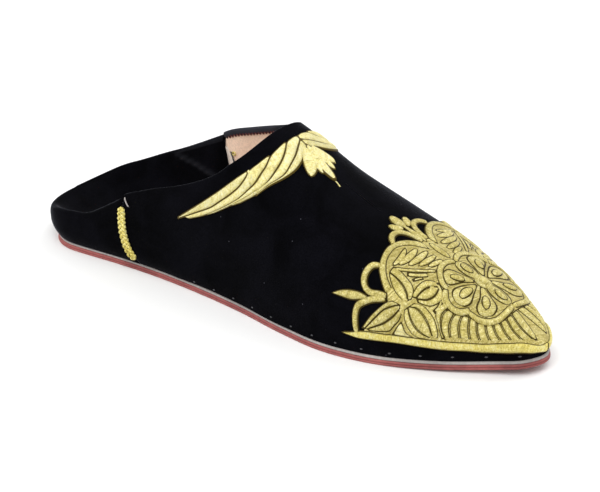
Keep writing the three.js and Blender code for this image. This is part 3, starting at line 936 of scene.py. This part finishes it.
def pad(shape, left, right, height=0.8, gap=0.12, mirror=False, slant=0.25, outline=None, full_end=False):
    """A raised satin shape between two edges on the chart, closed underneath.

    A tall shape lies on another one, so its outline of painted shade is lifted too.
    """
    length = lengths(np.asarray(left, float))[-1]
    count = int(np.clip(length / PAD_STEP, 10, 150))
    left, right = spline(left, count), spline(right, count)
    width = np.hypot(*(right - left).T)[:, None]
    share = np.minimum(0.35, gap / (width + 1e-6))
    left, right = left + (right - left) * share, right - (right - left) * share
    if outline is not None:
        lift = GROOVE_LIFT_UPPER if height > UPPER_PAD else GROOVE_LIFT
        groove_shade(outline, left[::2], right[::2], mirror, lift)
    across = np.linspace(0, 1, PAD_COLUMNS)
    grid = left[:, None] + (right - left)[:, None] * across[None, :, None]
    dome = np.power(1 - np.abs(2 * across - 1) ** 3.2, 0.6)
    ends = np.clip(np.arange(count) * length / count / 1.2, 0, 1)
    ends = ends if full_end else np.minimum(ends, ends[::-1])
    high = height * (0.35 + 0.65 * np.minimum(1, width[:, 0] / 3.0)) * np.sqrt(ends)
    lift = (high[:, None] + SINK) * dome - SINK
    points = chart.point(grid[..., 0], grid[..., 1] * (-1 if mirror else 1), lift)
    along = np.linspace(0, length, count)[:, None] + slant * width * across
    shape.grid(points, np.stack(np.broadcast_arrays(along, across), -1), lid=True)


def knot(shape, centre, radius, height, mirror=False, outline=None):
    """A round raised knot."""
    t = np.linspace(0, np.pi, 13)
    arc = np.stack([-np.cos(t), np.sin(t)], -1) * radius
    pad(shape, centre + arc, centre + arc * [1, -1], height, 0.0, mirror, outline=outline)


# Curves of the toe piece, each as (s, a) points on the outer half; the inner half mirrors them.
# They and the wings were read off the photo and carried over to the chart with the fitted camera.
ARCH_OUT = [
    (200.5, 2.6), (197.4, 4.8), (194.9, 7.8), (192.9, 12.1), (192.1, 17), (192.9, 22.5), (195, 28.2),
    (198.1, 31.9), (202.1, 35.6),
]
ARCH_IN = [
    (205.4, 3.2), (202.5, 5.7), (199.5, 7.9), (197.1, 10.9), (195.3, 15), (195.6, 21), (197, 24.8),
    (199.9, 28.9), (204.5, 32.2),
]
BORDER_TOP = [
    (187, 62.9), (191.2, 60.3), (196.3, 56.6), (205.3, 51.8), (221.3, 42.3), (231.7, 35.3), (243.7, 25.4),
    (252.3, 16.6), (258.5, 9.8), (262.2, 5.6), (263.9, 2.6), (264.49, 0.2),
]
BORDER_LOW = [
    (187, 62.9), (194.2, 61.2), (200.3, 58.4), (207.7, 54.2), (227.9, 42.3), (242.1, 31), (249.1, 24.6),
    (256.2, 17.2), (261.2, 11), (263.6, 6.6), (264.3, 5), (264.49, 4.4),
]
NW_RIGHT = [(199.7, 23.4), (203.5, 23.1), (207.7, 24.1), (211.1, 25.3), (212.9, 27.5), (213.5, 30.7)]
NW_IN_LEFT = [(199.7, 27.1), (202.7, 30.5), (206.1, 32.7), (210.3, 33.6)]
NW_IN_RIGHT = [(199.7, 27.1), (203.4, 27.2), (207.5, 28.1), (210.7, 30.1), (212.3, 32.4)]
SW_UP = [(196.3, 55.3), (199.3, 48.1), (202.1, 42.6), (204.1, 38.9), (206.5, 36.3)]
SW_IN_UP = [(197.6, 54.9), (201.6, 47.1), (204.3, 41.8), (207.3, 38.3), (210.2, 35.6)]
SW_IN_LOW = [(198.6, 54.2), (202.1, 50.7), (205.5, 47), (208.5, 42.3), (210.6, 37)]
SW_LOW = [(199.6, 54.5), (208.1, 49), (210.2, 44.8), (211.6, 41.7), (211.9, 37.9)]
SE_LEFT = [(212.3, 36.2), (213.2, 39.4), (215.6, 42.2), (218.6, 43.4), (223.2, 41)]
SE_RIGHT = [(215, 31.3), (218.9, 29.5), (222.1, 29.9), (225.3, 31.3), (227.6, 35.2), (227.4, 38)]
SE_IN_LEFT = [(213.3, 34.2), (215.3, 37.2), (217.8, 39.4), (221, 40.2), (225.2, 39.2)]
SE_IN_RIGHT = [(213.3, 34.2), (217, 32.3), (220.5, 33), (223.3, 34.9), (225.6, 38.6)]
NE_UP = [(212.8, 30), (212.6, 26.4), (212.9, 22.7), (214.3, 19.2), (218, 16.9)]
NE_IN_LEFT = [(214.9, 29.2), (215.7, 24.5), (217.1, 21.3), (220.4, 18.1)]
NE_IN_RIGHT = [(214.9, 29.2), (219.1, 26.5), (220.9, 22.9), (220.4, 18.1)]
NE_LOW = [(216.2, 30.2), (220.9, 28.3), (223, 26.1), (224.4, 22), (222.8, 18.6)]
RIBS = [
    [(225.2, 22.6), (223.9, 26.2), (224.6, 29.6), (227, 32.2), (229, 36.3)],
    [(228, 23.6), (227, 27.4), (228.3, 32.6), (230.6, 35.4)],
    [(231.2, 23.4), (231, 28.5), (232.4, 33.6)],
    [(234.1, 21.3), (234.4, 26.1), (236.1, 30.8)],
    [(236.9, 19.6), (238.1, 23.9), (239.8, 28)],
    [(240, 19), (241.6, 22.6), (243.4, 25)],
    [(243.2, 17.2), (245.3, 20), (247.1, 21.5)],
    [(245.6, 14.8), (248.3, 16.9), (250.9, 17.5)],
    [(247.3, 11.8), (251.1, 13.4), (254.6, 13.8)],
    [(248.2, 8.2), (252.9, 9.9), (258.2, 9.6)],
    [(248.5, 4.6), (254, 6), (258.6, 5.8), (261.4, 4.6)],
    [(248.4, 0), (254.5, 1.2), (259, 2.4), (261.9, 3.6)],
]
PETALS = [
    # left edge, right edge, height
    (ARCH_OUT, ARCH_IN, 0.95),
    (NW_RIGHT, NW_IN_RIGHT, 0.85), (NW_IN_LEFT, NW_IN_RIGHT, 1.05),
    (SW_UP, SW_IN_UP, 0.9), (SW_IN_UP, SW_IN_LOW, 1.1), (SW_IN_LOW, SW_LOW, 0.9),
    (SE_LEFT, SE_IN_LEFT, 0.9), (SE_IN_LEFT, SE_IN_RIGHT, 1.1), (SE_IN_RIGHT, SE_RIGHT, 0.9),
    (NE_UP, NE_IN_LEFT, 0.85), (NE_IN_LEFT, NE_IN_RIGHT, 1.05), (NE_IN_RIGHT, NE_LOW, 0.85),
    ([(230.2, 4.4), (226.6, 10), (224.7, 14.4), (225.8, 17.2), (229.6, 19.2)],
     [(231, 4.4), (233.4, 10), (235.1, 14.8), (233.6, 17.8), (230, 19.2)], 0.8),
    ([(232, 3.8), (235.3, 9.6), (236.5, 14.6), (238.8, 16.2), (242, 14.9)],
     [(233.2, 2.8), (239.4, 4.8), (243.6, 6.6), (244.5, 10.8), (242.3, 14.6)], 0.8),
    ([(228.8, 3), (222.6, 4.4), (217.3, 6.6), (216.9, 10.2), (219.6, 13.2)],
     [(229.4, 4), (226.2, 9.2), (224.4, 13.4), (222.6, 14.6), (219.9, 13.4)], 0.8),
    ([(180, 49.2), (183.5, 45.9), (187, 43.6), (192, 41.6), (196, 41.2)],
     [(180, 49.2), (185.5, 48), (189.5, 46.9), (192.5, 45.2), (196, 42.8)], 1.2),
]
GUSSET = ([(212.5, 41.2), (210.6, 45.6), (208.8, 50)], [(212.5, 41.2), (215.2, 44.4), (219.4, 43.8)])
LEAVES = [
    # base, tip, width, bow, bluntness, height
    ((199.3, 23.6), (198, 11.4), 2.9, 1.2, 0.5, 0.85), ((201.2, 21.5), (201.5, 7.6), 3.7, 0.9, 0.5, 0.9),
    ((204.5, 18.8), (205.4, 5), 3.6, 0.7, 0.5, 0.9), ((207.9, 15.9), (209.2, 4.2), 3.2, 0.4, 0.5, 0.9),
    ((211, 13), (212.8, 4), 2.9, 0.2, 0.5, 0.85), ((190.4, 1.6), (184.8, 6), 4.2, -0.5, 0.6, 1.1),
    ((230.9, 8), (229.8, 16.3), 4.3, 0.3, 0.6, 1.5), ((236.4, 6.7), (240.6, 12.4), 4, -0.3, 0.6, 1.5),
    ((226.3, 6.9), (220.4, 10.6), 3.8, 0.4, 0.6, 1.5),
    ((216.6, 22), (219.4, 18.8), 1.6, 0, 0.6, 0.8),
]
BANDS = [
    # path, width, height
    ([(200.5, 1.6), (195.4, 2.4), (191.4, 4.4), (189.7, 7.4), (190.2, 10.8), (193, 13.6)], 3, 1.15),
    ([(200.6, 24.1), (204.5, 21.7), (208.6, 18.4), (211.6, 15.6), (215, 12)], 1.7, 1),
    ([(195.4, 26.4), (192.2, 28.6), (191.2, 32.5), (191.8, 36.2), (193.9, 38.8), (196.9, 39.2),
      (200.3, 37.6), (203.6, 36.2)], 3.1, 1.25),
    ([(203.6, 37.6), (199, 40.6), (195.6, 43.8), (193.2, 47), (192.7, 50.5), (193.2, 54.8),
      (194.2, 59.4)], 2.9, 1.25),
    ([(206.4, 22.8), (210.4, 19.8), (213.9, 16.2)], 2.1, 0.8),
    ([(209.8, 23.6), (211.6, 20.9), (213.2, 18.9)], 1.4, 0.8),
    ([(216.6, 0), (214.7, 4.2), (214.9, 8.6), (217, 12.6), (220.4, 15.6), (223.6, 16.4)], 3, 1.05),
    ([(222.8, 17), (225.1, 20.6), (228.9, 22.2), (232.9, 21), (235.8, 17.4)], 3.2, 1.05),
    ([(235.4, 18.6), (239.6, 18.2), (243.6, 15.8), (246.3, 11.9), (247, 7), (246.6, 0)], 3, 1.05),
    ([(218.4, 17.2), (222, 19.4), (224.9, 22.4), (228.4, 24.2)], 1.8, 0.8),
    ([(223.6, 29), (224.6, 25.6), (224, 21.6)], 1.5, 0.8),
]
# Leaves along the crest line, once each.
CREST_LEAVES = [
    # base, tip, width, bluntness, height
    (190.5, 181.3, 5.6, 0.7, 1.25), (228.6, 216.9, 8.2, 0.4, 0.8), (225.8, 218.8, 3.8, 0.6, 1.5),
    (233.4, 245.4, 8.6, 0.4, 0.8), (236.8, 243.6, 4, 0.6, 1.5), (201.8, 188.5, 2.6, 0.5, 1.1),
    (214, 202.5, 3.6, 0.5, 0.95),
]
# The rear edge of the ground under the toe piece: a, s.
FILL_REAR = np.array([
    [0, 197], [2.6, 198.4], [7.8, 195.4], [12.1, 193.3], [17, 192.5], [22.5, 193.3], [28.2, 195.4],
    [31.9, 198.6], [35.6, 202.9], [38.9, 204.6], [42.6, 202.6], [48.1, 199.8], [55.3, 197.2], [62, 194.5],
])
FILL_LIFT = 0.42
FILL_MARGIN = 0.8
FILL_END = 264.45


def build_toe_fill():
    """The low ground of gold under the toe piece, from its rear edge to the border."""
    ground = Shape()
    border = np.array(BORDER_LOW[1:])
    limit = through(border[:, 0], border[:, 1] - FILL_MARGIN)
    rear = curves(FILL_REAR)[0]
    q = np.linspace(-1, 1, 121)
    start = np.full(len(q), 200.0)
    for _ in range(30):
        start = (start + rear(np.abs(q * limit(start)))) / 2
    p = np.linspace(0, 1, 121)
    s = start[:, None] + (FILL_END - start[:, None]) * np.sin(p * np.pi / 2)
    a = q[:, None] * np.maximum(limit(s), 0.6)
    lift = np.full(s.shape, FILL_LIFT)
    lift[0] = lift[-1] = -SINK
    lift[:, 0] = -SINK
    ground.grid(chart.point(s, a, lift), np.stack([s + 0.35 * a, 0 * s + 0.5], -1))
    ground.build("toe_fill", GOLD_GROUND, "gold_thread")


def build_toe_embroidery():
    shape, lines = Shape(), Shape()
    for mirror in (False, True):
        for left, right, height in PETALS:
            pad(shape, left, right, height, mirror=mirror, outline=lines)
        for base, tip, width, bow, full, height in LEAVES:
            pad(shape, *leaf(base, tip, width, bow, full), height, 0.05, mirror, outline=lines)
        for path, width, height in BANDS:
            pad(shape, *ribbon(path, width, 0.75, 0.75), height, 0.1, mirror, outline=lines)
        for one, two in zip(RIBS[:-1], RIBS[1:]):
            pad(shape, one, two, 0.95, 0.22, mirror, outline=lines)
        knot(shape, (211.9, 34.0), 1.3, 1.3, mirror)
    for base, tip, width, full, height in CREST_LEAVES:
        pad(shape, *leaf((base, 0), (tip, 0), width, 0, full), height, 0.05, outline=lines)
    knot(shape, (231.2, 0.0), 4.2, 1.2, outline=lines)
    knot(shape, (231.2, 0.0), 2.4, 1.9)
    shape.build("toe_embroidery", GOLD, "gold_thread")
    border, gussets = Shape(), Shape()
    for mirror in (False, True):
        pad(gussets, *GUSSET, 0.8, mirror=mirror, outline=lines)
        pad(border, BORDER_TOP, BORDER_LOW, 1.25, 0.05, mirror, slant=0.1, outline=lines, full_end=True)
    border.build("toe_border", GOLD_BORDER, "gold_thread")
    gussets.build("toe_gussets", GOLD_PALE, "gold_thread")
    lines.build("toe_groove_shade", GROOVE_SHADE, "gold_thread")


WING_LOW = [
    (88.3, 75.2), (95.2, 69.8), (103.3, 62.8), (109.5, 57.2), (117, 50.2), (123.1, 44.5), (130.1, 36.8),
    (134.7, 29), (138.8, 22), (140.9, 15.5), (140.4, 9), (138.2, 4), (137.4, 0),
]
WING_UP = [
    (88.3, 74.6), (95.4, 65.2), (104.2, 53.9), (110.7, 45.8), (116.1, 38.7), (122.3, 30.5), (125.9, 24.5),
    (128.8, 17.6), (130, 10), (130.6, 0),
]
WING_A = [
    (92, 71.4), (99.5, 63.6), (107.3, 56), (111.3, 51.2), (116.5, 44.8), (120.3, 39.1), (122.4, 33.5),
    (122.7, 30.4),
]
WING_B = [
    (104, 61.8), (113.5, 52.6), (121.1, 44.3), (125.1, 38), (127.9, 32.6), (128.9, 28), (129.6, 23.5),
    (129.2, 18.4),
]
WING_C = [
    (117.4, 49.4), (124.6, 41.6), (130.6, 33.6), (133.3, 28.4), (134.4, 22.6), (134.4, 16.6), (132.8, 11.4),
    (130.8, 7.6),
]
WING_D = [(129.4, 37.2), (134.4, 28.6), (138.3, 20.5), (138.2, 14.6), (137, 9), (134.8, 4), (132.6, 0)]


def build_instep_embroidery():
    shape, lines = Shape(), Shape()
    # Each blade starts on the lower edge and ends on the upper one.
    blades = [
        (WING_UP[:6], WING_LOW[:1] + WING_A),
        (WING_A + [(125.9, 24.5), (128.6, 18.6)], WING_LOW[1:2] + WING_B),
        (WING_B + [(130.0, 12.6), (130.3, 8.0)], WING_LOW[3:4] + WING_C),
        (WING_C + [(130.6, 3.4), (131.0, 0.0)], WING_LOW[5:6] + WING_D),
        (WING_D, WING_LOW[6:]),
    ]
    for mirror in (False, True):
        for left, right in blades:
            pad(shape, left, right, 1.05, 0.1, mirror, slant=0.8, outline=lines)
        knot(shape, (123.2, 30.4), 0.9, 1.5, mirror)
    # The leaves that hang from the crest: base, tip, width and bow of each.
    for base, tip, width, bow in [
        ((137.4, -1.2), (147.6, -6.4), 6.4, 0.6),
        ((136.6, 1.6), (147.4, 11.6), 7.0, -0.8),
        ((138.0, 1.0), (149.6, 5.4), 4.4, 0.2),
        ((138.0, -0.6), (150.4, -2.6), 4.4, 0.2),
    ]:
        pad(shape, *leaf(base, tip, width, bow), 1.25, 0.05, outline=lines)
    pad(shape, *leaf((136.0, 0.0), (155.0, 3.4), 5.6, 0.0), 1.5, 0.05, outline=lines)
    pad(shape, *ribbon([(154.0, 3.2), (157.6, 4.2)], 0.8), 0.6, 0.0)
    shape.build("instep_embroidery", GOLD_PALE, "gold_thread")
    lines.build("instep_groove_shade", GROOVE_PALE_SHADE, "gold_thread")


# Heights of the braids and of the cut edges above the floor, by side.
BRAID_TOP = {-1: 31.6, 1: 38.6}
BRAID_FOOT = 6.8
BRAID_PITCH = 6.6
BRAID_SWING = 1.5
STRAND = 0.72
EDGE_TOP = {-1: 37.0, 1: 43.6}
EDGE_LENGTH = 4.4


def build_braids():
    """A three-strand chain over each side seam, from below the rim down to the sole."""
    shape = Shape()
    for side, top in BRAID_TOP.items():
        z = np.linspace(top, BRAID_FOOT, 220)
        path = on_wall(side, seam_s(side, z), z)
        ahead = unit(np.gradient(path, axis=0))
        out = np.array([0, side, 0.12])
        out = unit(out - ahead * (ahead @ out)[:, None])
        sideways = np.cross(ahead, out)
        run = lengths(path)
        ends = np.clip(np.minimum(run, run[-1] - run) / 1.6, 0, 1)[:, None]
        for strand in range(3):
            phase = (2 * np.pi * (run / BRAID_PITCH + strand / 3))[:, None]
            swing = BRAID_SWING * np.sin(phase) * ends
            rise = 0.45 + 0.34 * np.sin(2 * phase) * ends
            shape.tube(path + sideways * swing + out * rise, STRAND, 10, mark=strand * 3.0)
    shape.build("seam_braids", GOLD_BORDER, "gold_thread")


def build_cut_edges():
    """The pale cut edge that shows at the top of each seam."""
    shape = Shape()
    for side, top in EDGE_TOP.items():
        drop = np.linspace(0, EDGE_LENGTH, 9)
        s = seam_s(side, top - drop) + 0.5 + 3.2 * (drop / EDGE_LENGTH) ** 1.6
        shape.tube(on_wall(side, s, top - drop) + [0, side * 0.12, 0], 0.36)
    shape.build("cut_edges", PALE, "pale_leather")


# Stage: floor, light and camera.
def build_stage():
    bpy.ops.mesh.primitive_plane_add(size=12)
    floor = bpy.context.object
    floor.name = "floor"
    paint = Paint("floor", Roughness=0.85, Specular_IOR_Level=0.2)
    tone = paint.ramp(paint.noise(3, 2), [(0.3, (0.86, 0.86, 0.855)), (0.7, (0.88, 0.88, 0.875))])
    floor.data.materials.append(paint.finish(tone))
    world = bpy.data.worlds.new("studio")
    world.use_nodes = True
    background = world.node_tree.nodes["Background"]
    background.inputs[0].default_value = (1, 1, 1, 1)
    background.inputs[1].default_value = 0.75
    bpy.context.scene.world = world


def add_light(name, where, target, size, power):
    data = bpy.data.lights.new(name, "AREA")
    data.shape = "SQUARE"
    data.size = size
    data.energy = power
    lamp = bpy.data.objects.new(name, data)
    lamp.location = where
    lamp.rotation_euler = (Vector(target) - Vector(where)).to_track_quat("-Z", "Y").to_euler()
    bpy.context.scene.collection.objects.link(lamp)


# The camera's place, aim, roll and lens were fitted to the outlines of the shoe in the photo.
CAMERA_AT = Vector((0.6094, -0.8294, 0.4969))
CAMERA_AIM = Vector((0.0023, 0.0, 0.0221))
CAMERA_ROLL = 0.503
LENS = 149.63


def add_camera():
    data = bpy.data.cameras.new("camera")
    data.sensor_width = 36
    data.lens = LENS
    data.clip_start = 0.01
    camera = bpy.data.objects.new("camera", data)
    look = (CAMERA_AIM - CAMERA_AT).to_track_quat("-Z", "Y").to_matrix().to_4x4()
    roll = Matrix.Rotation(math.radians(CAMERA_ROLL), 4, "Z")
    camera.matrix_world = Matrix.Translation(CAMERA_AT) @ look @ roll
    bpy.context.scene.collection.objects.link(camera)
    bpy.context.scene.camera = camera


bpy.context.scene.view_settings.view_transform = "Standard"
build_stage()
add_light("key", (0.35, -0.75, 1.15), (0, 0, 0), 0.9, 11)
add_light("fill", (-0.9, -0.5, 0.8), (0, 0, 0), 1.2, 6)
add_light("back", (0.3, 0.9, 0.9), (0, 0, 0), 1.0, 7)
add_camera()

build_upper()
build_lining()
build_lining_edge()
build_quarter()
build_soles()
build_sole_stitches()
build_toe_fill()
build_toe_embroidery()
build_instep_embroidery()
build_braids()
build_cut_edges()
